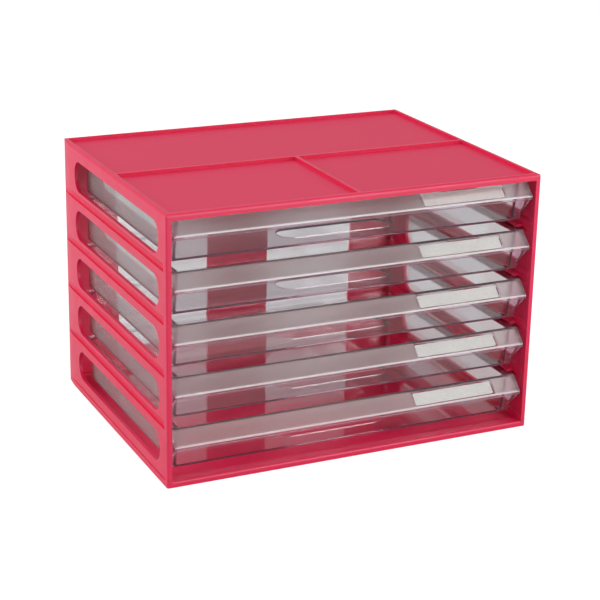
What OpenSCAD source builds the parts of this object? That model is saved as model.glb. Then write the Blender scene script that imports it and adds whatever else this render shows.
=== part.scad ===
// Desktop tower of five wide, shallow document drawers.
// A coloured casing of five moulded panels holds five clear trays. Each tray has a
// slanted, overhanging front with a straight pull along its nose, hangs by its rim
// flanges on runners inside the side panels, and carries a paper label card.
// Millimetres, +Z up, front towards -Y. The origin is the middle of the underside.

/* [Casing] */
// Width across the side panels
casing_w = 330; // [290:1:420]
// Depth from the front posts to the back
casing_d = 255; // [225:1:330]
// Height of one drawer level
level_pitch = 43.3; // [42.5:0.1:60]
// Wall thickness of the side panels
side_t = 3; // [2.4:0.1:3.4]
// Radius of the rear upright corners
rear_r = 4; // [3:0.5:6]
// Length of the soft bend of the sides ahead of the rear corners
rear_bend = 24; // [12:1:30]
// How far the soft bend draws the sides in
rear_draw = 1.6; // [0.6:0.1:2.4]

/* [Top and base] */
// Height of the top panel's edge
top_t = 5.5; // [5:0.1:9]
// Depth of the trays in the top
top_recess = 3; // [1.5:0.1:3.2]
// Width of the rim round the top and under the base
rim_w = 4.5; // [4.2:0.1:8]
// Rounding of the top panel's upper edges
top_round = 2.6; // [1:0.1:2.8]
// Width of the ribs that divide the top and stiffen the base
rib_w = 3.2; // [2:0.1:6]
// Distance of the long rib from the front
long_rib_y = 125.5; // [90:0.5:160]
// Height of the base panel's edge
base_t = 5; // [4.4:0.1:8]
// Depth of the hollows under the base
base_hollow = 1.8; // [1:0.1:2]
// Depth of the lip along the front of the base
base_lip = 11; // [6:0.5:18]
// Drop from the lip to the floor of the base
base_drop = 0.8; // [0.4:0.1:1]
// Rounding of the base's front edge between the posts
base_round = 1.8; // [0.5:0.1:2.5]

/* [Side panels] */
// Width of the front posts, seen from the front
post_w = 4.3; // [3.6:0.1:6]
// Depth of the front posts
post_d = 6; // [4:0.5:10]
// Rounding of the posts' outer edge
post_round = 1.5; // [0.5:0.1:2]
// Depth of the groove that marks each level
groove_d = 2; // [1:0.1:2.4]
// Height of the groove's upright face
groove_h = 3.5; // [2:0.1:5]
// Depth of the seam between the side panels and the base
seam_d = 0.7; // [0.3:0.1:1]
// Height of the seam
seam_h = 0.8; // [0.4:0.1:1.5]
// Height of a side window's lower edge above its level
window_z = 9.1; // [7:0.1:12]
// Radius of the windows' corners
window_r = 12; // [4:0.5:13]
// Distance from the front to the windows
window_front = 16.5; // [12:0.5:40]
// Distance from the windows to the back
window_rear = 35; // [26:0.5:60]
// Height of the plain band over a window
top_band = 5.2; // [5:0.1:7]

/* [Back panel] */
// Thickness of the back panel
back_t = 2.5; // [2:0.1:3]
// Thickness of the side panels' rear flanges, which the back panel rests against
rear_flange_t = 3; // [2:0.1:4]
// Reach of the rear flanges behind the back panel
rear_flange_w = 9; // [6:0.5:14]
// Width of the bar between the two openings
back_bar = 60; // [30:1:90]
// Width of one opening
back_open_w = 87; // [50:1:100]
// Distance from the openings to the top and base panels
back_margin = 18; // [10:1:50]
// Radius of the openings' corners
back_open_r = 10; // [4:0.5:20]

/* [Drawers] */
// Gap between a drawer's front and the wall of each side panel
front_gap = 4; // [2.4:0.1:8]
// How far the tray stands in from each end of the front
tray_inset = 5.5; // [5:0.1:10]
// Gap between the tray and the back panel
rear_gap = 16.4; // [6:0.1:40]
// Gap under a drawer, above its level
drawer_lift = 2.8; // [1.5:0.1:4]
// Wall and floor thickness of a drawer
drawer_t = 2; // [1.4:0.1:2.4]
// Radius of the tray's rear corners
tray_r = 10; // [5:0.5:20]
// Radius along the tray's lower edges
tray_edge_r = 4; // [3:0.5:6]
// Rounding inside the foot of the front wall
foot_r = 0.4; // [0.2:0.1:2]
// Distance from the casing's front to the foot of the drawer's front wall
foot_y = 18.5; // [15:0.5:26]
// Distance from the casing's front to the ridge above the front wall
ridge_y = 12.5; // [10:0.5:16]
// How far the nose stands behind the casing's front
nose_y = 0.5; // [0.2:0.1:4]
// Height of the nose's upper edge
nose_top = 26.2; // [22:0.1:30]
// Height of the nose's lower edge
nose_bottom = 22.6; // [18:0.1:24]
// Rounding inside the ridge
ridge_r = 0.5; // [0.2:0.1:2]
// Height at which the end cheeks meet the front wall
cheek_z = 6.5; // [4:0.5:14]
// How far a drawer pulls out
travel = 165; // [60:1:180]

/* [Runners] */
// Thickness of a drawer's rim flanges
flange_t = 1.5; // [1.2:0.1:2]
// Gap between moving faces
run_gap = 0.3; // [0.2:0.05:0.5]
// How far the runners reach in under the flanges
runner_reach = 3.6; // [2:0.1:4.5]
// Thickness of the guides that keep the flanges down
guide_t = 2; // [1.5:0.1:3]
// Height of the stop lugs on the flanges
lug_h = 1; // [0.8:0.1:1.2]
// Length of the stop lugs and of the stops
lug_l = 3; // [2:0.5:6]

/* [Finger hole] */
// Width of the hole in a drawer's floor
hole_w = 101; // [60:1:140]
// Depth of the hole
hole_d = 26; // [18:0.5:40]
// Distance from the casing's front to the hole
hole_y = 38; // [32:1:80]
// Radius of the hole's corners
hole_r = 12; // [4:0.5:13]

/* [Label] */
// Width of a label card
card_w = 75; // [40:1:110]
// Height of a label card
card_h = 11; // [8:0.1:11.5]
// Thickness of a label card
card_t = 0.4; // [0.3:0.05:0.6]
// Corner radius of a label card
card_r = 1.5; // [0.5:0.1:4]
// Distance from the drawer's right end to the card
card_end = 25; // [15:1:60]
// Margin of the clear window round the card
pane_margin = 1.2; // [0.6:0.1:2]
// Depth of the clear window's recess
pane_d = 0.3; // [0.2:0.05:0.5]
// Thickness of the clips that hold the card's ends
clip_t = 0.8; // [0.6:0.1:1.2]

/* [Hidden] */
$fn = 48;
drawer_count = 5;
eps = 0.01;

// Joints between the fixed panels
fit_gap = 0.1;
tongue_t = 1.2;
tongue_h = 2;
tongue_in = 4;                                   // from the posts to the tongues
seat_h = 1.4;                                    // depth of the slots for the back panel
pocket_r = 2;                                    // corners of the pockets in the top and base
floor_r = 3;                                     // corners of the base's floor
floor_end = 4;                                   // from the floor's end to the back panel

// Details of the drawers and of the card's place
flange_back = 3;                                 // reach of the rim flange behind the tray
flange_r = 5;
brow_r = 0.2;                                    // inside the bend over the nose
inner_edge_r = 0.5;                              // least radius along the tray's inner edges
card_gap = 0.15;
card_rise = 1.6;                                 // from the brow up to the card's lower edge
clip_lip = 2;                                    // how far a clip reaches behind the card
clip_h = card_h * 0.6;

// Heights, with level 1 at the top
function level_z(level) = base_t + (drawer_count - level) * level_pitch;
guide_z = level_pitch - guide_t;                 // underside of what keeps the flanges down
window_top = guide_z - top_band;
window_h = window_top - window_z;
drawer_h = guide_z - lug_h - run_gap - drawer_lift;
side_h = (drawer_count - 1) * level_pitch + guide_z;
top_z = base_t + side_h;
rim_z = drawer_lift + drawer_h;                  // a drawer's rim above its level
ledge_z = rim_z - flange_t - run_gap;            // top of a runner above its level

// Places across and along the casing
side_x = casing_w / 2;
inner_x = side_x - side_t;
front_w = 2 * (inner_x - front_gap);
tray_w = front_w - 2 * tray_inset;
runner_x = front_w / 2 - runner_reach;
back_y = casing_d - rear_flange_t - fit_gap;     // rear face of the back panel
tray_back = back_y - back_t - rear_gap;
runner_end = back_y - back_t - run_gap;
bulge_t = groove_d + side_t;

// Front wall of a drawer: its lean and where the runners have to stop short of it
function wall_y(z) = foot_y + (ridge_y - foot_y) * z / drawer_h;
runner_start = wall_y(window_top - drawer_lift) + drawer_t * 1.1 + run_gap;
stop_y = runner_start + 2;
lug_y = stop_y + lug_l + travel + run_gap;

// Corners of the middle line of a drawer's front, in (y, z). The ridge's corner stands
// so much over the rim that its rounding comes up to the rim.
half_t = drawer_t / 2;
foot_mid_r = foot_r + half_t;
ridge_mid_r = ridge_r + half_t;
foot = [foot_y + half_t, half_t];
brow = [nose_y + half_t, nose_top - half_t / 2];
chin = [nose_y + half_t, nose_bottom];
ridge_flat = [ridge_y + half_t, drawer_h - half_t];
bisector = unit(unit(foot - ridge_flat) + unit(brow - ridge_flat));
ridge_half = acos(unit(foot - ridge_flat) * unit(brow - ridge_flat)) / 2;
ridge_rise = -bisector[1] * ridge_mid_r / sin(ridge_half) - ridge_mid_r;
ridge = ridge_flat + [0, ridge_rise];

// Slanted face: its angle, and a card lying behind it
slant = atan2(ridge[1] - brow[1], ridge[0] - brow[0]);
card_x = front_w / 2 - card_end - card_w / 2;

// ---- Outlines ----

function unit(v) = v / norm(v);
function left_of(v) = [-v[1], v[0]];

// Arc of n steps about a centre, from angle a0 to a1
function arc(centre, r, a0, a1, n = 8) =
    [for (i = [0 : n]) let (a = a0 + (a1 - a0) * i / n) centre + r * [cos(a), sin(a)]];

// Arc that rounds the corner b of the path a, b, c
function rounded(a, b, c, r, n = 6) =
    let (u = unit(a - b), w = unit(c - b), half = acos(u * w) / 2,
         centre = b + unit(u + w) * r / sin(half),
         from = b + u * r / tan(half) - centre,
         to = b + w * r / tan(half) - centre,
         a0 = atan2(from[1], from[0]),
         turn = (atan2(to[1], to[0]) - a0 + 540) % 360 - 180)
    arc(centre, r, a0, a0 + turn, n);

// Side of a path, moved to its left by d with true mitres
function beside(path, d) =
    [for (i = [0 : len(path) - 1])
        let (before = unit(path[max(i, 1)] - path[max(i, 1) - 1]),
             last = len(path) - 1,
             after = unit(path[min(i, last - 1) + 1] - path[min(i, last - 1)]),
             m = left_of(before), n = left_of(after))
        path[i] + (m + n) * d / (1 + m * n)];

// A wall of thickness t along a path
module wall_along(path, t) {
    near = beside(path, t / 2);
    far = beside(path, -t / 2);
    polygon(concat(near, [for (i = [len(far) - 1 : -1 : 0]) far[i]]));
}

// Rectangle with round corners, its lower left corner at the origin
module round_rect(size, r) {
    translate([r, 0]) square([size[0] - 2 * r, size[1]]);
    translate([0, r]) square([size[0], size[1] - 2 * r]);
    for (x = [r, size[0] - r], y = [r, size[1] - r]) translate([x, y]) circle(r);
}

// Extrude a drawing of (x, z) along Y from y0 to y1
module along_y(y0, y1) {
    translate([0, y1, 0]) rotate([90, 0, 0]) linear_extrude(y1 - y0) children();
}

// Extrude a drawing of (y, z) along X from x0 to x1
module along_x(x0, x1) {
    translate([x0, 0, 0]) rotate([90, 0, 90]) linear_extrude(x1 - x0) children();
}

// Things drawn with the casing's front at y = 0
module from_front() {
    translate([0, -casing_d / 2, 0]) children();
}

module mirror_pair() {
    children();
    mirror([1, 0, 0]) children();
}

// ---- Casing ----

// The sides run straight to bend_y, draw in along a long arc and turn the rear corner
bend_r = (pow(rear_bend, 2) + pow(rear_draw, 2)) / (2 * rear_draw);
bend_a = asin(rear_bend / bend_r);
bend_x = side_x - bend_r;
bend_y = casing_d - rear_r - (bend_r - rear_r) * sin(bend_a);
corner_x = bend_x + (bend_r - rear_r) * cos(bend_a);
corner_y = casing_d - rear_r;

right_edge = concat(
    arc([side_x - post_round, post_round], post_round, -90, 0, 6),
    arc([bend_x, bend_y], bend_r, 0, bend_a, 8),
    arc([corner_x, corner_y], rear_r, bend_a, 90, 8));

module casing_plan() {
    polygon(concat(right_edge,
        [for (i = [len(right_edge) - 1 : -1 : 0]) [-right_edge[i][0], right_edge[i][1]]]));
}

// Groove in a panel's face that takes a tongue, drawn at the tongue's place
module tongue(clear) {
    half = tongue_t / 2 + clear;
    x = side_x - groove_d - side_t / 2;
    translate([x - half, post_d + tongue_in - clear, 0])
        cube([2 * half, bend_y - post_d - tongue_in + 2 * clear, tongue_h + clear]);
}

// Hollows between the rim and the T of ribs, cut from z up by h
module rib_pockets(z, h) {
    half_w = side_x - rim_w - rib_w / 2;
    translate([-side_x + rim_w, long_rib_y + rib_w / 2, z]) linear_extrude(h)
        round_rect([casing_w - 2 * rim_w, casing_d - rim_w - long_rib_y - rib_w / 2], pocket_r);
    for (x = [-side_x + rim_w, rib_w / 2]) translate([x, rim_w, z]) linear_extrude(h)
        round_rect([half_w, long_rib_y - rib_w / 2 - rim_w], pocket_r);
}

// Slot that holds the back panel's edge
module back_slot() {
    translate([-inner_x, back_y - back_t - fit_gap, 0])
        cube([2 * inner_x, back_t + 2 * fit_gap, seat_h + fit_gap]);
}

module top_panel() {
    edge = top_round;
    color([0.86, 0.2, 0.33]) from_front() translate([0, 0, top_z]) difference() {
        intersection() {
            linear_extrude(top_t) casing_plan();
            along_y(0, casing_d) polygon(concat(
                [[-side_x, 0], [side_x, 0]],
                arc([side_x - edge, top_t - edge], edge, 0, 90),
                arc([-side_x + edge, top_t - edge], edge, 90, 180)));
            along_x(-side_x, side_x) polygon(concat(
                [[0, 0], [casing_d, 0]],
                arc([casing_d - edge, top_t - edge], edge, 0, 90),
                arc([edge, top_t - edge], edge, 90, 180)));
        }
        rib_pockets(top_t - top_recess, top_recess + 1);
        mirror_pair() translate([groove_d, 0, 0]) tongue(fit_gap);
        back_slot();
    }
}

module base_panel() {
    floor_x = inner_x - groove_d - run_gap;
    color([0.8, 0.12, 0.26]) from_front() difference() {
        linear_extrude(base_t) casing_plan();
        rib_pockets(-1, base_hollow + 1);
        along_x(post_w - side_x, side_x - post_w) difference() {
            translate([-1, base_t - base_round]) square([base_round + 1, base_round + 1]);
            translate([base_round, base_t - base_round]) circle(base_round);
        }
        translate([-floor_x, base_lip, base_t - base_drop]) linear_extrude(base_drop + 1)
            round_rect([2 * floor_x, back_y - back_t - floor_end - base_lip], floor_r);
        translate([0, 0, base_t - tongue_h - fit_gap]) mirror_pair() tongue(fit_gap);
        translate([0, 0, base_t - seat_h - fit_gap]) back_slot();
    }
}

// Section of the side wall, drawn as (inset from the outer face, height): grooves
// outside and matching bulges inside
lip_r = (pow(window_z - groove_h, 2) + pow(groove_d, 2)) / (2 * groove_d);
lip_a = asin((window_z - groove_h) / lip_r);

// A groove and the curved lip over it; the lowest level has only the seam on the base
function groove_line(z) = z == base_t
    ? [[seam_d, z], [seam_d, z + seam_h], [0, z + seam_h + seam_d]]
    : concat([[groove_d, z]], arc([lip_r, z + window_z], lip_r, 180 + lip_a, 180, 6));

levels_up = [for (n = [drawer_count : -1 : 1]) level_z(n)];
outside_line = concat([for (z = levels_up) each concat([[0, z]], groove_line(z))], [[0, top_z]]);
inside_line = concat(
    [for (z = levels_up) each [
        [side_t, z - side_t - groove_d], [bulge_t, z - side_t],
        [bulge_t, z + groove_h + 1], [side_t, z + groove_h + 1 + groove_d]]],
    [[side_t, top_z]]);

module side_section(outside) {
    intersection() {
        polygon(concat(outside, [for (i = [len(inside_line) - 1 : -1 : 0]) inside_line[i]]));
        translate([0, base_t]) square([bulge_t, side_h]);
    }
}

// What the straight grooves take from the soft bend and the corner, where they run out
module groove_cuts() {
    for (z = levels_up)
        let (line = groove_line(z))
        along_y(bend_y - 1, casing_d + 1) translate([side_x, 0]) mirror([1, 0])
            polygon(concat([[-1, z]], line, [[-1, line[len(line) - 1][1]]]));
}

module side_wall() {
    along_y(post_d / 2, bend_y) translate([side_x, 0]) mirror([1, 0]) side_section(outside_line);
    difference() {
        union() {
            translate([bend_x, bend_y, 0]) rotate_extrude(angle = bend_a, $fn = 360)
                translate([bend_r, 0]) mirror([1, 0]) side_section([[0, base_t], [0, top_z]]);
            translate([corner_x, corner_y, base_t]) rotate_extrude(angle = 90)
                square([rear_r, side_h]);
        }
        groove_cuts();
    }
    translate([corner_x - rear_flange_w, casing_d - rear_flange_t, base_t])
        cube([rear_flange_w, rear_flange_t, side_h]);
}

module post() {
    translate([0, 0, base_t]) linear_extrude(side_h) polygon(concat(
        [[side_x - post_w, post_d], [side_x - post_w, 0]],
        arc([side_x - post_round, post_round], post_round, -90, 0, 6), [[side_x, post_d]]));
}

// Runner under a flange, guide above it, and the stop at the guide's front end
module runner(level) {
    z = level_z(level);
    reach = inner_x + eps - runner_x;
    translate([runner_x, runner_start, z + window_top])
        cube([reach, runner_end - runner_start, ledge_z - window_top]);
    if (level > 1)
        translate([runner_x, runner_start, z + guide_z])
            cube([reach, runner_end - runner_start, level_pitch - guide_z]);
    translate([runner_x, stop_y, z + rim_z + run_gap])
        cube([reach, lug_l, guide_z - rim_z - run_gap]);
}

module window(level) {
    length = casing_d - window_front - window_rear;
    translate([side_x - bulge_t - 1, window_front, level_z(level) + window_z])
        rotate([90, 0, 90]) linear_extrude(bulge_t + 2) round_rect([length, window_h], window_r);
}

// Right side panel; the left one is its mirror image
module side_panel() {
    from_front() union() {
        difference() {
            side_wall();
            for (n = [1 : drawer_count]) window(n);
        }
        post();
        for (n = [1 : drawer_count]) runner(n);
        translate([0, 0, base_t - tongue_h]) tongue(0);
        translate([groove_d, 0, top_z]) tongue(0);
    }
}

module right_side() {
    color([0.9, 0.3, 0.45]) side_panel();
}

module left_side() {
    color([0.9, 0.3, 0.45]) mirror([1, 0, 0]) side_panel();
}

module back_panel() {
    plate_x = corner_x - fit_gap;
    notch_x = side_x - rear_draw - bulge_t - fit_gap;
    color([0.7, 0.1, 0.2]) from_front() difference() {
        translate([-plate_x, back_y - back_t, base_t - seat_h])
            cube([2 * plate_x, back_t, side_h + 2 * seat_h]);
        // the side panels' bulges pass the edges of the plate
        mirror_pair() for (n = [1 : drawer_count])
            translate([notch_x, back_y - back_t - 1, level_z(n) - side_t - groove_d])
            cube([plate_x - notch_x + 1, back_t + 2, side_t + 2 * groove_d + groove_h + 1]);
        for (x = [back_bar / 2, -back_bar / 2 - back_open_w])
            along_y(back_y - back_t - 1, back_y + 1)
                translate([x, base_t + back_margin])
                round_rect([back_open_w, side_h - 2 * back_margin], back_open_r);
    }
}

// ---- Drawers ----

// Point on the middle of the leaning front wall
function middle(z) = [wall_y(z) + half_t, z];

// Middle line of the front: foot, wall, ridge, slanted face and nose
floor_start = foot + [2 * tray_edge_r, 0];
front_path = concat(
    [floor_start], rounded(floor_start, foot, ridge, foot_mid_r),
    rounded(foot, ridge, brow, ridge_mid_r), rounded(ridge, brow, chin, brow_r + half_t), [chin]);

// Solid block of the tray's outline, drawn in by t
module tray_block(t) {
    x = tray_w / 2 - t;
    y = tray_back - t;
    r = tray_r - t;
    edge = max(tray_edge_r - t, inner_edge_r);
    intersection() {
        translate([0, 0, t]) linear_extrude(drawer_h) polygon(concat(
            [[-x, ridge_y], [x, ridge_y]],
            arc([x - r, y - r], r, 0, 90), arc([-x + r, y - r], r, 90, 180)));
        along_y(0, tray_back) polygon(concat(
            [[x, drawer_h + t], [-x, drawer_h + t]],
            arc([-x + edge, t + edge], edge, 180, 270, 6),
            arc([x - edge, t + edge], edge, 270, 360, 6)));
        along_x(-x, x) polygon(concat(
            [middle(drawer_h + t)],
            rounded(middle(drawer_h), middle(t), [y, t], foot_mid_r),
            arc([y - edge, t + edge], edge, 270, 360, 6), [[y, drawer_h + t]]));
    }
}

// Rim flange round the sides and the back
module rim_flange() {
    x = front_w / 2;
    round_x = x - flange_r;
    round_y = tray_back + flange_back - flange_r;
    translate([0, 0, drawer_h - flange_t]) linear_extrude(flange_t) polygon(concat(
        [[-x, ridge_y + drawer_t], [x, ridge_y + drawer_t]],
        arc([round_x, round_y], flange_r, 0, 90), arc([-round_x, round_y], flange_r, 90, 180)));
}

// Triangular cheek that closes an end of the front
module cheek() {
    along_x(front_w / 2 - drawer_t, front_w / 2)
        polygon([ridge_flat - [0, half_t], brow - [0, half_t], chin, middle(cheek_z)]);
}

// Things drawn on the slanted face about the card's middle: y up the slope, z outwards
module on_slant() {
    translate([card_x, brow[0], brow[1]]) rotate([slant, 0, 0])
        translate([0, card_rise + card_h / 2, half_t]) children();
}

module card_outline(grow) {
    w = card_w + 2 * grow;
    h = card_h + 2 * grow;
    translate([-w / 2, -h / 2]) round_rect([w, h], card_r + grow);
}

// Clips under the slanted face that hold the ends of the card
module clips() {
    depth = card_t + 2 * card_gap;
    mirror_pair() translate([card_w / 2 + card_gap, -clip_h / 2, -drawer_t - depth - clip_t]) {
        cube([clip_t, clip_h, depth + clip_t + eps]);
        translate([-clip_lip, 0, 0]) cube([clip_lip + clip_t, clip_h, clip_t]);
    }
}

module drawer(level) {
    color([0.72, 0.68, 0.7, 0.6]) from_front() translate([0, 0, level_z(level) + drawer_lift])
        difference() {
            union() {
                difference() {
                    union() {
                        tray_block(0);
                        rim_flange();
                    }
                    tray_block(drawer_t);
                }
                along_x(-front_w / 2, front_w / 2) wall_along(front_path, drawer_t);
                mirror_pair() cheek();
                mirror_pair() translate([front_w / 2 - runner_reach + run_gap, lug_y, drawer_h - eps])
                    cube([runner_reach - run_gap, lug_l, lug_h + eps]);
                on_slant() clips();
            }
            translate([-hole_w / 2, hole_y, -1]) linear_extrude(drawer_t + 2)
                round_rect([hole_w, hole_d], hole_r);
            on_slant() translate([0, 0, -pane_d]) linear_extrude(pane_d + 1)
                card_outline(pane_margin);
        }
}

module drawer_1() drawer(1);
module drawer_2() drawer(2);
module drawer_3() drawer(3);
module drawer_4() drawer(4);
module drawer_5() drawer(5);

// Paper card held behind the slanted face
module label_card(level) {
    color("white") from_front() translate([0, 0, level_z(level) + drawer_lift]) on_slant()
        translate([0, 0, -drawer_t - card_gap - card_t]) linear_extrude(card_t) card_outline(0);
}

module label_card_1() label_card(1);
module label_card_2() label_card(2);
module label_card_3() label_card(3);
module label_card_4() label_card(4);
module label_card_5() label_card(5);

top_panel();
base_panel();
left_side();
right_side();
back_panel();
drawer_1();
drawer_2();
drawer_3();
drawer_4();
drawer_5();
label_card_1();
label_card_2();
label_card_3();
label_card_4();
label_card_5();
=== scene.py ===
"""Looks of a desktop tower of five clear document drawers in a moulded casing.

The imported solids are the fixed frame. This script dresses them in moulded crimson plastic, clear and
frosted plastic and white card, and sets them in a plain white studio. Everything is in metres, +Z up,
with the front towards -Y and the origin in the middle of the underside.
"""

import logging
import math
from dataclasses import dataclass, field, replace
from enum import Enum
from functools import reduce

import bpy
import numpy as np
from mathutils import Matrix, Vector

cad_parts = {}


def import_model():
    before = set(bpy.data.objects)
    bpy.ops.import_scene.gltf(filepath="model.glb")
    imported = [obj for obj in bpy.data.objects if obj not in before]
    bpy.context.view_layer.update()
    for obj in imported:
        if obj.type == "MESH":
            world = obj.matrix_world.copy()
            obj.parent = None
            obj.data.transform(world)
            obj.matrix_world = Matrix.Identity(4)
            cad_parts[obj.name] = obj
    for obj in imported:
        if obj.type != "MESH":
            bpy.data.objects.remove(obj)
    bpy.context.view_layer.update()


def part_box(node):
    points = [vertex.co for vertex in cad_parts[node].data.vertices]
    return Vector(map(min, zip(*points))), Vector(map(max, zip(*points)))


LOG = logging.getLogger("drawer_tower")
WHITE = (1.0, 1.0, 1.0, 1.0)

Socket = bpy.types.NodeSocket
Value = Socket | float
Colour = tuple[float, float, float]
Place = tuple[float, float, float]


class Shine(Enum):
    """How smooth a moulded surface is: the roughness of each grade."""

    POLISHED = 0.02
    HAZED = 0.04
    FROSTED = 0.3
    SATIN = 0.34
    GRAINED = 0.5


def millimetres(value: float) -> float:
    """Millimetres as metres."""
    return value / 1000.0


def srgb(red: int, green: int, blue: int) -> Colour:
    """A colour as it looks, 0 to 255 a channel, as the linear colour that a shader takes.

    Args:
        red: Red, 0 to 255.
        green: Green, 0 to 255.
        blue: Blue, 0 to 255.

    Returns:
        The three linear channels, 0 to 1.
    """
    shown = np.array([red, green, blue]) / 255.0
    # The sRGB curve: a straight line near black, and a power above it
    linear = np.where(shown <= 0.04045, shown / 12.92, ((shown + 0.055) / 1.055) ** 2.4)
    return tuple(float(channel) for channel in linear)


def opaque_grey(level: float) -> tuple[float, float, float, float]:
    """A grey of one linear level, as a colour socket takes it."""
    return level, level, level, 1.0


# ---- Shader trees ----

# Width of a zone's soft border
BORDER = millimetres(0.4)


@dataclass(frozen=True)
class Pattern:
    """Soft noise in space.

    Attributes:
        scale: Waves in a metre.
        detail: Finer octaves on top.
        stretch: Factor on each axis of the place, where the noise runs long or short.
    """

    scale: float
    detail: float = 2.0
    stretch: Place = (1.0, 1.0, 1.0)


class ShaderTree:
    """A node tree being wired, with one short method for each kind of node in use.

    Attributes:
        NOISE_RANGE: The values between which nearly all of the soft noise lies.
        EDGE_GAIN: How fast the edge mask rises as the surface turns.
    """

    NOISE_RANGE = (0.3, 0.7)
    EDGE_GAIN = 5.0

    def __init__(self, tree: bpy.types.NodeTree) -> None:
        """Empties the tree, so that every node in it is one that is asked for here."""
        self.tree = tree
        tree.nodes.clear()

    def add(
        self, kind: str, inputs: dict[str | int, object] | None = None, **settings: object
    ) -> bpy.types.Node:
        """Adds a node, sets its properties and feeds its inputs.

        Args:
            kind: The node's type name.
            inputs: What goes into each input: a socket to link, or a plain value.
            **settings: Properties of the node itself.

        Returns:
            The new node.
        """
        node = self.tree.nodes.new(kind)
        for name, value in settings.items():
            setattr(node, name, value)
        for name, value in (inputs or {}).items():
            if isinstance(value, Socket):
                self.tree.links.new(value, node.inputs[name])
            else:
                node.inputs[name].default_value = value
        return node

    def math(self, operation: str, a: Value, b: Value = 0.0, clamp: bool = False) -> Socket:
        """One arithmetic step on two values."""
        return self.add("ShaderNodeMath", {0: a, 1: b}, operation=operation, use_clamp=clamp).outputs[0]

    def product(self, *masks: Socket) -> Socket:
        """The product of several masks, which is one where all of them are."""
        return reduce(lambda a, b: self.math("MULTIPLY", a, b), masks)

    def position(self) -> Socket:
        """The place in the row frame, which every piece's Object coordinates are."""
        return self.add("ShaderNodeTexCoord").outputs["Object"]

    def axes(self) -> tuple[Socket, Socket, Socket]:
        """The place in the row frame as three values."""
        parts = self.add("ShaderNodeSeparateXYZ", {0: self.position()})
        return parts.outputs[0], parts.outputs[1], parts.outputs[2]

    def noise(self, pattern: Pattern) -> Socket:
        """The pattern's noise, about 0.5 on the mean."""
        place = self.add("ShaderNodeMapping", {"Vector": self.position(), "Scale": pattern.stretch})
        inputs = {"Vector": place.outputs[0], "Scale": pattern.scale, "Detail": pattern.detail}
        return self.add("ShaderNodeTexNoise", inputs).outputs["Fac"]

    def between(self, noise: Socket, low: float, high: float) -> Socket:
        """A value that runs from low to high over the range in which soft noise lies."""
        start, end = self.NOISE_RANGE
        inputs = {"Value": noise, "From Min": start, "From Max": end, "To Min": low, "To Max": high}
        return self.add("ShaderNodeMapRange", inputs).outputs["Result"]

    def mix_colour(self, factor: Value, a: Socket | Colour, b: Socket | Colour) -> Socket:
        """One colour turning into another as the factor runs from 0 to 1."""
        node = self.add("ShaderNodeMix", {0: factor}, data_type="RGBA", blend_type="MIX")
        for index, value in ((6, a), (7, b)):
            if isinstance(value, Socket):
                self.tree.links.new(value, node.inputs[index])
            else:
                node.inputs[index].default_value = (*value, 1.0)
        return node.outputs[2]

    def blend(self, factor: Value, low: Value, high: Value) -> Socket:
        """A value that runs from low to high as the factor runs from 0 to 1."""
        return self.add("ShaderNodeMix", {0: factor, 2: low, 3: high}, data_type="FLOAT").outputs[0]

    def step(self, larger: Value, smaller: Value, blur: float) -> Socket:
        """A soft step, 0 to 1 as the first value passes the second over the width of the blur."""
        over = self.math("SUBTRACT", larger, smaller)
        return self.math("ADD", self.math("DIVIDE", over, blur), 0.5, clamp=True)

    def bump(
        self, height: Socket, distance: float, strength: float, normal: Socket | None = None
    ) -> Socket:
        """Relief from a height.

        Args:
            height: The height, 0 to 1.
            distance: Metres that a height of 1 stands up.
            strength: Share of the relief that shows.
            normal: The normal that the relief is laid on, where there is one.

        Returns:
            The new normal.
        """
        inputs = {"Height": height, "Distance": distance, "Strength": strength}
        if normal is not None:
            inputs["Normal"] = normal
        return self.add("ShaderNodeBump", inputs).outputs[0]

    def true_normal(self) -> Socket:
        """The normal of the face itself."""
        return self.add("ShaderNodeNewGeometry").outputs["True Normal"]

    def softened_normal(self, reach: float, rays: int) -> Socket:
        """The normal rounded over a short way at every edge.

        Args:
            reach: How far the surface is felt out, in metres.
            rays: Rays that feel it out.

        Returns:
            The new normal.
        """
        return self.add("ShaderNodeBevel", {"Radius": reach}, samples=rays).outputs[0]

    def edge_mask(self, reach: float, rays: int) -> Socket:
        """Zero on a flat and one on a sharp edge, from how far the rounded normal leaves the true one.

        Args:
            reach: How far the surface is felt out, in metres.
            rays: Rays that feel it out.

        Returns:
            The mask.
        """
        inputs = {0: self.softened_normal(reach, rays), 1: self.true_normal()}
        along = self.add("ShaderNodeVectorMath", inputs, operation="DOT_PRODUCT").outputs["Value"]
        turned = self.math("SUBTRACT", 1.0, along)
        return self.math("MULTIPLY", turned, self.EDGE_GAIN, clamp=True)

    def surface(self, shader: bpy.types.Node) -> None:
        """Ends the tree in a shader, as its surface."""
        self.add("ShaderNodeOutputMaterial", {"Surface": shader.outputs[0]})


def new_material(name: str) -> tuple[bpy.types.Material, ShaderTree]:
    """An empty node material and its tree."""
    material = bpy.data.materials.new(name)
    material.use_nodes = True
    return material, ShaderTree(material.node_tree)


# ---- Finishes ----


@dataclass(frozen=True)
class Slab:
    """A region between two planes on each axis, given by its middle and half sizes.

    Attributes:
        middle: The region's middle.
        half: Its half size along X, Y and Z.
        blur: Width of its soft border.
    """

    middle: Place
    half: Place
    blur: float = BORDER

    def mask(self, tree: ShaderTree) -> Socket:
        """One inside the region, zero outside."""
        within = []
        for place, middle, half in zip(tree.axes(), self.middle, self.half):
            away = tree.math("ABSOLUTE", tree.math("SUBTRACT", place, middle))
            within.append(tree.step(half, away, self.blur))
        return tree.product(*within)


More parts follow.
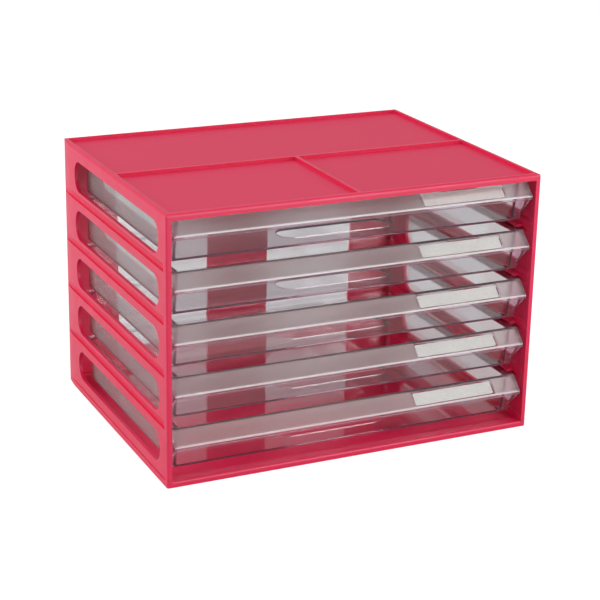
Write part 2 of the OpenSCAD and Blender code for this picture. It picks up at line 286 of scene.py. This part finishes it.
@dataclass(frozen=True)
class MouldedPlastic:
    """Coloured polystyrene from a satin mould: faint flow marks, fine grain and soft edges.

    Attributes:
        colour: The plastic's own colour, linear.
        deep: The colour where the wall is a little denser.
        pocket_shade_colour: The colour of the grained pocket floors, a little darker and duller: painted
            shade for the fine shading of their grain.
        ior: Refraction of the plastic.
        flow: The flow marks, in which the two colours change places.
        cloud: How the roughness varies.
        rougher: Least and most that is added to the roughness.
        grain: The mould's grain.
        grain_height: Metres that the grain stands up.
        grain_strength: Share of the grain that shows.
        edge: Metres over which every edge is rounded, or 0 where the solid has its own roundings.
        edge_rays: Rays that feel out the edges.
    """

    colour: Colour = srgb(238, 28, 84)
    deep: Colour = srgb(233, 25, 78)
    pocket_shade_colour: Colour = srgb(234, 32, 86)
    ior: float = 1.57
    flow: Pattern = Pattern(9.0, 3.0, (1.0, 1.0, 2.5))
    cloud: Pattern = Pattern(60.0, 4.0)
    rougher: tuple[float, float] = (-0.03, 0.05)
    grain: Pattern = Pattern(2400.0)
    grain_height: float = 0.00003
    grain_strength: float = 0.5
    edge: float = millimetres(0.5)
    edge_rays: int = 8

    def material(self, name: str, pockets: Slab | None = None) -> bpy.types.Material:
        """Builds the material.

        Args:
            name: The material's name.
            pockets: Where the surface is grained instead of satin, with painted shade that makes it a
                little duller, if anywhere.

        Returns:
            The material.
        """
        material, tree = new_material(name)
        flow = tree.between(tree.noise(self.flow), 0.0, 1.0)
        colour = tree.mix_colour(flow, self.colour, self.deep)
        smoothest, roughest = (Shine.SATIN.value + extra for extra in self.rougher)
        rough = tree.between(tree.noise(self.cloud), smoothest, roughest)
        normal = tree.softened_normal(self.edge, self.edge_rays) if self.edge else tree.true_normal()
        normal = tree.bump(tree.noise(self.grain), self.grain_height, self.grain_strength, normal)
        if pockets is not None:
            pocket = pockets.mask(tree)
            # Painted shade: the pocket floors take a slightly darker, duller colour for the fine shading
            # of their grain
            colour = tree.mix_colour(pocket, colour, self.pocket_shade_colour)
            rough = tree.blend(pocket, rough, Shine.GRAINED.value)
        inputs = {"Base Color": colour, "Roughness": rough, "Normal": normal, "IOR": self.ior}
        tree.surface(tree.add("ShaderNodeBsdfPrincipled", inputs))
        return material


@dataclass(frozen=True)
class DrawerPoint:
    """A place on any of the drawers, as sockets.

    Attributes:
        x: Its X.
        y: Its Y.
        height: Its height above that drawer's underside.
    """

    x: Socket
    y: Socket
    height: Socket


@dataclass(frozen=True)
class DrawerZones:
    """The zones of a drawer's surface in the row frame, each given as a mask that is one inside it.

    Attributes:
        drawer_z: Height of the lowest drawer's underside.
        pitch: Height from one drawer to the next.
        ridge_y: Y of the ridge, where the slanted face ends.
        foot_y: Y behind which the front wall and its foot end.
        nose_y: Y behind which the nose's wall ends.
        foot_z: Height of the bend at the front wall's foot. Heights are above a drawer's underside.
        chin_z: Height of the nose's lower edge.
        lit_z: Height at which the painted highlight on the nose's upper edge starts.
        brow_z: Height of the slanted face's lower edge.
        ridge_z: Height at which the ridge starts.
        pane: The middle of the clear pane over a label, with its height in place of Z.
        pane_half: Half the pane's length, and half its width up the slope.
        slope: Angle of the slanted face, in radians.
        wall_x: X beyond which the tray's side walls lie.
        reflection_y: Y at which the painted reflection on the left side sets in, with its rougher
            polish.
        reflection_blur: Width over which it sets in.
        blur: Width of every other zone's soft border.
    """

    drawer_z: float
    pitch: float
    ridge_y: float
    foot_y: float
    nose_y: float
    foot_z: float
    chin_z: float
    lit_z: float
    brow_z: float
    ridge_z: float
    pane: Vector
    pane_half: tuple[float, float]
    slope: float
    wall_x: float
    reflection_y: float
    reflection_blur: float = millimetres(30.0)
    blur: float = BORDER

    def point(self, tree: ShaderTree) -> DrawerPoint:
        """The place, with its height counted from the underside of whichever drawer it is on."""
        x, y, z = tree.axes()
        above = tree.math("SUBTRACT", z, self.drawer_z - self.pitch)
        return DrawerPoint(x, y, tree.math("MODULO", above, self.pitch))

    def before(self, tree: ShaderTree, point: DrawerPoint, y: float) -> Socket:
        """One in front of a Y."""
        return tree.step(y, point.y, self.blur)

    def under(self, tree: ShaderTree, point: DrawerPoint, height: float) -> Socket:
        """One under a height."""
        return tree.step(height, point.height, self.blur)

    def over(self, tree: ShaderTree, point: DrawerPoint, height: float) -> Socket:
        """One over a height."""
        return tree.step(point.height, height, self.blur)

    def pane_mask(self, tree: ShaderTree, point: DrawerPoint) -> Socket:
        """One on the clear pane over the label, measured along the front and up the slope."""
        away_x = tree.math("ABSOLUTE", tree.math("SUBTRACT", point.x, self.pane.x))
        run = tree.math("SUBTRACT", point.y, self.pane.y)
        rise = tree.math("SUBTRACT", point.height, self.pane.z)
        along = tree.math("MULTIPLY", run, math.cos(self.slope))
        up = tree.math("MULTIPLY", rise, math.sin(self.slope))
        away_up = tree.math("ABSOLUTE", tree.math("ADD", along, up))
        length, width = self.pane_half
        return tree.product(tree.step(length, away_x, self.blur), tree.step(width, away_up, self.blur))

    def frosted(self, tree: ShaderTree, point: DrawerPoint) -> Socket:
        """One on the slanted face, apart from the clear pane over the label."""
        front = self.before(tree, point, self.ridge_y)
        upper = self.over(tree, point, self.brow_z)
        beside = tree.math("SUBTRACT", 1.0, self.pane_mask(tree, point))
        return tree.product(front, upper, beside)

    def reflection_and_haze(self, tree: ShaderTree, point: DrawerPoint) -> Socket:
        """One on the tray's left side wall, behind its clear front stretch, where a reflection is
        painted and the polish is a little rough.
        """
        left = tree.step(tree.math("MULTIPLY", point.x, -1.0), self.wall_x, self.blur)
        return tree.product(left, tree.step(point.y, self.reflection_y, self.reflection_blur))

    def bends(self, tree: ShaderTree, point: DrawerPoint) -> Socket:
        """One on the bend at the foot of the front wall and along the nose's lower edge, where shade is
        painted.
        """
        foot = tree.product(
            self.under(tree, point, self.foot_z), self.before(tree, point, self.foot_y)
        )
        chin = tree.product(
            self.under(tree, point, self.chin_z), self.before(tree, point, self.nose_y)
        )
        return tree.math("MAXIMUM", foot, chin)

    def ridge(self, tree: ShaderTree, point: DrawerPoint) -> Socket:
        """One on the bend over the front wall, where shade is painted."""
        high = self.over(tree, point, self.ridge_z)
        return tree.product(high, self.before(tree, point, self.foot_y))

    def ends(self, tree: ShaderTree, point: DrawerPoint) -> Socket:
        """One on the cheeks and the front ends of the tray's sides, where a reflection of the casing's
        crimson is painted.
        """
        side = tree.step(tree.math("ABSOLUTE", point.x), self.wall_x, self.blur)
        return tree.product(side, self.before(tree, point, self.foot_y))

    def lit(self, tree: ShaderTree, point: DrawerPoint) -> Socket:
        """One along the nose's upper edge, where a highlight is painted."""
        return tree.product(
            self.over(tree, point, self.lit_z),
            self.under(tree, point, self.brow_z),
            self.before(tree, point, self.nose_y),
        )


@dataclass(frozen=True)
class Coat:
    """How one zone of the clear plastic takes light.

    Attributes:
        tint: Colour of what passes through it.
        share: Share of the light that passes through without scatter.
    """

    tint: Colour
    share: float


@dataclass(frozen=True)
class ClearPlastic:
    """Crystal polystyrene, faintly smoky: clear walls, frosted slanted fronts, and painted light and
    shade in a few zones.

    Attributes:
        clear: The plain walls.
        painted_reflection: A painted reflection on the tray's left side wall, a pale grey veil for the
            bright floor that it mirrors.
        frost: The frosted slanted faces.
        edge: Painted shade on the edges and bends, a dark purple tint for the light that runs far
            through the plastic and scatters there.
        ridge: Painted shade on the ridge over the front wall, a lavender grey line.
        end: The cheeks, with a painted reflection of the casing's crimson.
        lit: A painted highlight along the nose's upper edge.
        ior: Refraction of the plastic.
        lamp_share: Share of the lamps' light that each face of a wall lets through.
        edge_reach: Metres over which the edges are felt out.
        edge_rays: Rays that feel them out.
        ripple: The slow ripple of the moulded walls.
        ripple_height: Metres that the ripple stands up.
        ripple_strength: Share of the ripple that shows.
    """

    clear: Coat = Coat((0.93, 0.915, 0.93), 1.0)
    painted_reflection: Coat = Coat((0.64, 0.68, 0.68), 0.78)
    frost: Coat = Coat((0.83, 0.76, 0.76), 0.92)
    edge: Coat = Coat((0.5, 0.17, 0.28), 0.55)
    ridge: Coat = Coat((0.8, 0.72, 0.84), 0.9)
    end: Coat = Coat((0.74, 0.44, 0.55), 0.9)
    lit: Coat = Coat((0.96, 0.88, 0.9), 0.25)
    ior: float = 1.5
    lamp_share: float = 0.97
    edge_reach: float = millimetres(0.8)
    edge_rays: int = 4
    ripple: Pattern = Pattern(42.0, 2.0, (1.0, 1.0, 0.35))
    ripple_height: float = millimetres(0.4)
    ripple_strength: float = 0.06

    def material(self, name: str, zones: DrawerZones) -> bpy.types.Material:
        """Builds the material. Lamps shine through it, as they do through thin clear walls.

        Args:
            name: The material's name.
            zones: Where it is frosted, where the left side is a little rough, and where shade, a
                highlight and reflections are painted.

        Returns:
            The material.
        """
        material, tree = new_material(name)
        point = zones.point(tree)
        reflection_and_haze = zones.reflection_and_haze(tree, point)
        frosted = zones.frosted(tree, point)
        unfrosted = tree.math("SUBTRACT", 1.0, frosted)
        sharp = tree.edge_mask(self.edge_reach, self.edge_rays)
        colour, share = self.clear.tint, self.clear.share
        for mask, coat in (
            # Painted reflection: a pale grey veil on the left side wall
            (reflection_and_haze, self.painted_reflection),
            (frosted, self.frost),
            # Painted shade: a dark purple tint on edges and bends
            (tree.math("MAXIMUM", sharp, zones.bends(tree, point)), self.edge),
            # Painted shade: a lavender grey line on the ridge
            (tree.product(zones.ridge(tree, point), unfrosted), self.ridge),
            # Painted reflection: the casing's crimson on the cheeks
            (tree.product(zones.ends(tree, point), unfrosted), self.end),
            # Painted highlight: a pale line along the nose's upper edge
            (zones.lit(tree, point), self.lit),
        ):
            colour = tree.mix_colour(mask, colour, coat.tint)
            share = tree.blend(mask, share, coat.share)
        rough = tree.blend(reflection_and_haze, Shine.POLISHED.value, Shine.HAZED.value)
        rough = tree.blend(frosted, rough, Shine.FROSTED.value)
        ripple = tree.bump(tree.noise(self.ripple), self.ripple_height, self.ripple_strength)
        inputs = {
            "Base Color": colour,
            "Roughness": rough,
            "IOR": self.ior,
            "Transmission Weight": share,
            "Normal": ripple,
        }
        wall = tree.add("ShaderNodeBsdfPrincipled", inputs)
        for_lamps = tree.add("ShaderNodeBsdfTransparent", {"Color": opaque_grey(self.lamp_share)})
        to_lamp = tree.add("ShaderNodeLightPath").outputs["Is Shadow Ray"]
        inputs = {0: to_lamp, 1: wall.outputs[0], 2: for_lamps.outputs[0]}
        tree.surface(tree.add("ShaderNodeMixShader", inputs))
        return material


@dataclass(frozen=True)
class CardStock:
    """White uncoated card with a faint tooth and fibres.

    Attributes:
        colour: The card's colour, linear.
        fibre: The colour of its darker fibres.
        fibres: How the fibres lie, longest along the card.
        tooth_height: Metres that the fibres stand up.
        tooth_strength: Share of that tooth that shows.
        rough: Roughness of the card.
    """

    colour: Colour = srgb(228, 228, 223)
    fibre: Colour = srgb(215, 214, 209)
    fibres: Pattern = Pattern(900.0, 5.0, (0.35, 1.0, 1.0))
    tooth_height: float = 0.00004
    tooth_strength: float = 0.4
    rough: float = 0.75

    def material(self, name: str) -> bpy.types.Material:
        """Builds the material.

        Args:
            name: The material's name.

        Returns:
            The material.
        """
        material, tree = new_material(name)
        fibres = tree.noise(self.fibres)
        colour = tree.mix_colour(tree.between(fibres, 0.0, 1.0), self.fibre, self.colour)
        tooth = tree.bump(fibres, self.tooth_height, self.tooth_strength)
        inputs = {"Base Color": colour, "Roughness": self.rough, "Normal": tooth}
        tree.surface(tree.add("ShaderNodeBsdfPrincipled", inputs))
        return material


# ---- The object ----


def dress(name: str, material: bpy.types.Material) -> None:
    """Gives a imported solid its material.

    Args:
        name: The node's name.
        material: What it is made of.
    """
    solid = bpy.data.objects[name]
    solid.data.materials.clear()
    solid.data.materials.append(material)
    LOG.info("%s: %s", name, material.name)


@dataclass
class Casing:
    """The five panels that snap together into the casing.

    Attributes:
        rim: Width of the rim round the top's pockets.
        pocket: Depth of those pockets.
        plastic: The finish of all five.
        panels: The panels that are satin all over.
    """

    rim: float = millimetres(4.5)
    pocket: float = millimetres(3.0)
    plastic: MouldedPlastic = field(default_factory=MouldedPlastic)
    panels: tuple[str, ...] = ("base_panel", "left_side", "right_side", "back_panel")

    def pocket_floors(self) -> Slab:
        """The floors of the top's pockets, a quarter of their depth up and down."""
        low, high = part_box("top_panel")
        half = (high - low) / 2
        middle = (0.0, (low.y + high.y) / 2, high.z - self.pocket)
        return Slab(middle, (half.x - self.rim, half.y - self.rim, self.pocket / 4))

    def build(self) -> None:
        """Dresses every panel. The top has its own roundings, so its edges aren't softened."""
        satin = self.plastic.material("crimson_plastic")
        for panel in self.panels:
            dress(panel, satin)
        top_plastic = replace(self.plastic, edge=0.0)
        dress("top_panel", top_plastic.material("crimson_top", self.pocket_floors()))


@dataclass
class DrawerStack:
    """The five drawers and their label cards.

    Attributes:
        count: How many drawers there are.
        ridge: Distance from a drawer's nose back to its ridge.
        foot: Distance from the nose back to the end of the bend at the front wall's foot.
        nose: Distance from the nose back past its own wall.
        foot_z: Height of the bend at the front wall's foot. Heights are above a drawer's underside.
        chin_z: Height of the nose's lower edge.
        lit_z: Height at which the painted highlight on the nose's upper edge starts.
        brow_z: Height of the slanted face's lower edge.
        ridge_z: Height at which the ridge starts.
        pane_margin: Margin of the clear pane round the card.
        pane_offset: Distance from the card's middle out to the middle of the wall over it.
        side: Distance from the ends of the front in past the tray's side walls.
        clear: Depth over which the tray's left side is clear, with no painted reflection, from the nose
            back.
        plastic: The drawers' finish.
        card: The cards' finish.
    """

    count: int = 5
    ridge: float = millimetres(13.2)
    foot: float = millimetres(20.5)
    nose: float = millimetres(2.2)
    foot_z: float = millimetres(1.8)
    chin_z: float = millimetres(23.0)
    lit_z: float = millimetres(24.8)
    brow_z: float = millimetres(25.6)
    ridge_z: float = millimetres(36.4)
    pane_margin: float = millimetres(1.2)
    pane_offset: float = millimetres(1.35)
    side: float = millimetres(7.9)
    clear: float = millimetres(50.0)
    plastic: ClearPlastic = field(default_factory=ClearPlastic)
    card: CardStock = field(default_factory=CardStock)

    def zones(self) -> DrawerZones:
        """Works out the zones from the lowest two drawers and the lowest card."""
        low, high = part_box(f"drawer_{self.count}")
        above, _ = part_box(f"drawer_{self.count - 1}")
        card_low, card_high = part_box(f"label_card_{self.count}")
        card = card_high - card_low
        slope = math.atan2(card.z, card.y)
        outward = Vector((0.0, -math.sin(slope), math.cos(slope)))
        pane = (card_low + card_high) / 2 + outward * self.pane_offset
        pane.z -= low.z
        return DrawerZones(
            drawer_z=low.z,
            pitch=above.z - low.z,
            ridge_y=low.y + self.ridge,
            foot_y=low.y + self.foot,
            nose_y=low.y + self.nose,
            foot_z=self.foot_z,
            chin_z=self.chin_z,
            lit_z=self.lit_z,
            brow_z=self.brow_z,
            ridge_z=self.ridge_z,
            pane=pane,
            pane_half=(card.x / 2 + self.pane_margin, math.hypot(card.y, card.z) / 2 + self.pane_margin),
            slope=slope,
            wall_x=high.x - self.side,
            reflection_y=low.y + self.clear,
        )

    def build(self) -> None:
        """Dresses every drawer and its card."""
        clear = self.plastic.material("clear_plastic", self.zones())
        paper = self.card.material("white_card")
        for number in range(1, self.count + 1):
            dress(f"drawer_{number}", clear)
            dress(f"label_card_{number}", paper)


# ---- The studio ----


@dataclass(frozen=True)
class SoftBox:
    """A square soft lamp that faces the tower.

    Attributes:
        name: The lamp's name.
        place: Where it hangs.
        size: Its width.
        power: Its power in watts.
    """

    name: str
    place: Place
    size: float
    power: float

    def build(self, target: Vector) -> None:
        """Hangs the lamp and turns it to the target."""
        lamp = bpy.data.lights.new(self.name, "AREA")
        lamp.size = self.size
        lamp.energy = self.power
        holder = bpy.data.objects.new(self.name, lamp)
        bpy.context.scene.collection.objects.link(holder)
        aim = (target - Vector(self.place)).to_track_quat("-Z", "Y").to_matrix().to_4x4()
        holder.matrix_world = Matrix.Translation(self.place) @ aim


@dataclass
class Studio:
    """A pale studio: floor, world, lamps and the camera.

    Attributes:
        world_level: Brightness of the world as a light.
        room_level: Brightness of the studio on the camera's side, as gloss and clear plastic show it.
        backdrop_level: Brightness of the backdrop, as they show it.
        room_blur: Width of the soft border between the two, along Y on a sphere of 1 m radius.
        floor_size: Width of the floor.
        floor_colour: Grey level of the floor.
        floor_glow: Light that the floor adds for the camera, which makes it white outside the shadow.
        floor_gloss: Light that it adds for gloss.
        floor_through: Light that it adds for what is seen through clear plastic.
        camera_place: Where the camera stands.
        camera_turn: The camera's tilt, heading and roll in degrees.
        focal_px: Focal length in pixels of the picture.
        picture_px: Width of that picture.
        sensor_mm: Width of the camera's sensor.
        aim: What the lamps are turned to, at about half the tower's height.
        lamps: The lamps.
    """

    world_level: float = 0.4
    room_level: float = 0.25
    backdrop_level: float = 0.52
    room_blur: float = 0.3
    floor_size: float = 8.0
    floor_colour: float = 0.55
    floor_glow: float = 0.75
    floor_gloss: float = 0.24
    floor_through: float = 0.23
    camera_place: Place = (-0.6034, -1.2878, 0.5895)
    camera_turn: tuple[float, float, float] = (70.84, -25.39, 1.16)
    focal_px: float = 1726.4
    picture_px: int = 600
    sensor_mm: float = 36.0
    aim: Place = (0.0, 0.0, 0.11)
    lamps: tuple[SoftBox, ...] = (
        SoftBox("left_lamp", (-1.5, 0.4, 0.8), 1.6, 17.6),
        SoftBox("front_lamp", (0.6, -1.65, 0.35), 0.9, 11.0),
        SoftBox("key_lamp", (0.78, -1.2, 1.3), 0.5, 5.5),
        SoftBox("top_lamp", (0.2, 0.6, 1.7), 0.9, 2.5),
    )

    def build(self) -> None:
        """Builds the whole studio."""
        self.set_world()
        self.lay_floor()
        for lamp in self.lamps:
            lamp.build(Vector(self.aim))
        self.place_camera()
        bpy.context.scene.view_settings.view_transform = "Standard"

    def set_world(self) -> None:
        """A plain world: white to the camera and soft as a light.

        Gloss and clear plastic see a studio in it: the pale backdrop behind the tower and, on the
        camera's side, a darker half.
        """
        world = bpy.data.worlds.new("pale_room")
        bpy.context.scene.world = world
        world.use_nodes = True
        tree = ShaderTree(world.node_tree)
        path = tree.add("ShaderNodeLightPath").outputs
        behind = tree.step(tree.axes()[1], 0.0, self.room_blur)
        studio = tree.blend(behind, self.room_level, self.backdrop_level)
        sent_on = tree.math("MAXIMUM", path["Is Glossy Ray"], path["Is Transmission Ray"])
        level = tree.blend(sent_on, self.world_level, studio)
        level = tree.blend(path["Is Camera Ray"], level, 1.0)
        light = tree.add("ShaderNodeBackground", {"Color": WHITE, "Strength": level})
        tree.add("ShaderNodeOutputWorld", {"Surface": light.outputs[0]})

    def lay_floor(self) -> None:
        """Lays a plain pale floor, as a flat grid of two by two points."""
        half = self.floor_size / 2
        x, y = np.meshgrid([-half, half], [-half, half])
        points = np.column_stack([x.ravel(), y.ravel(), np.zeros(x.size)])
        mesh = bpy.data.meshes.new("floor")
        mesh.from_pydata(points.tolist(), [], [(0, 1, 3, 2)])
        floor = bpy.data.objects.new("floor", mesh)
        bpy.context.scene.collection.objects.link(floor)
        mesh.materials.append(self.floor_material())

    def floor_material(self) -> bpy.types.Material:
        """Matt and pale, and brighter to the camera, gloss and clear plastic than its light makes it."""
        material, tree = new_material("pale_floor")
        path = tree.add("ShaderNodeLightPath").outputs
        added = tree.math("MULTIPLY", path["Is Transmission Ray"], self.floor_through)
        added = tree.blend(path["Is Glossy Ray"], added, self.floor_gloss)
        added = tree.blend(path["Is Camera Ray"], added, self.floor_glow)
        matt = tree.add("ShaderNodeBsdfDiffuse", {"Color": opaque_grey(self.floor_colour)})
        glow = tree.add("ShaderNodeEmission", {"Color": WHITE, "Strength": added})
        tree.surface(tree.add("ShaderNodeAddShader", {0: matt.outputs[0], 1: glow.outputs[0]}))
        return material

    def place_camera(self) -> None:
        """Stands the camera at the photograph's angle, with the lens that its perspective asks for."""
        camera = bpy.data.cameras.new("camera")
        camera.sensor_width = self.sensor_mm
        camera.lens = self.focal_px / self.picture_px * self.sensor_mm
        holder = bpy.data.objects.new("camera", camera)
        bpy.context.scene.collection.objects.link(holder)
        tilt, heading, roll = (math.radians(angle) for angle in self.camera_turn)
        heading_turn = Matrix.Rotation(heading, 4, "Z")
        turn = heading_turn @ Matrix.Rotation(tilt, 4, "X") @ Matrix.Rotation(roll, 4, "Z")
        holder.matrix_world = Matrix.Translation(self.camera_place) @ turn
        bpy.context.scene.camera = holder


def main() -> None:
    logging.basicConfig(level=logging.INFO, format="%(name)s: %(message)s")
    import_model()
    Casing().build()
    DrawerStack().build()
    Studio().build()


if __name__ == "__main__":
    main()
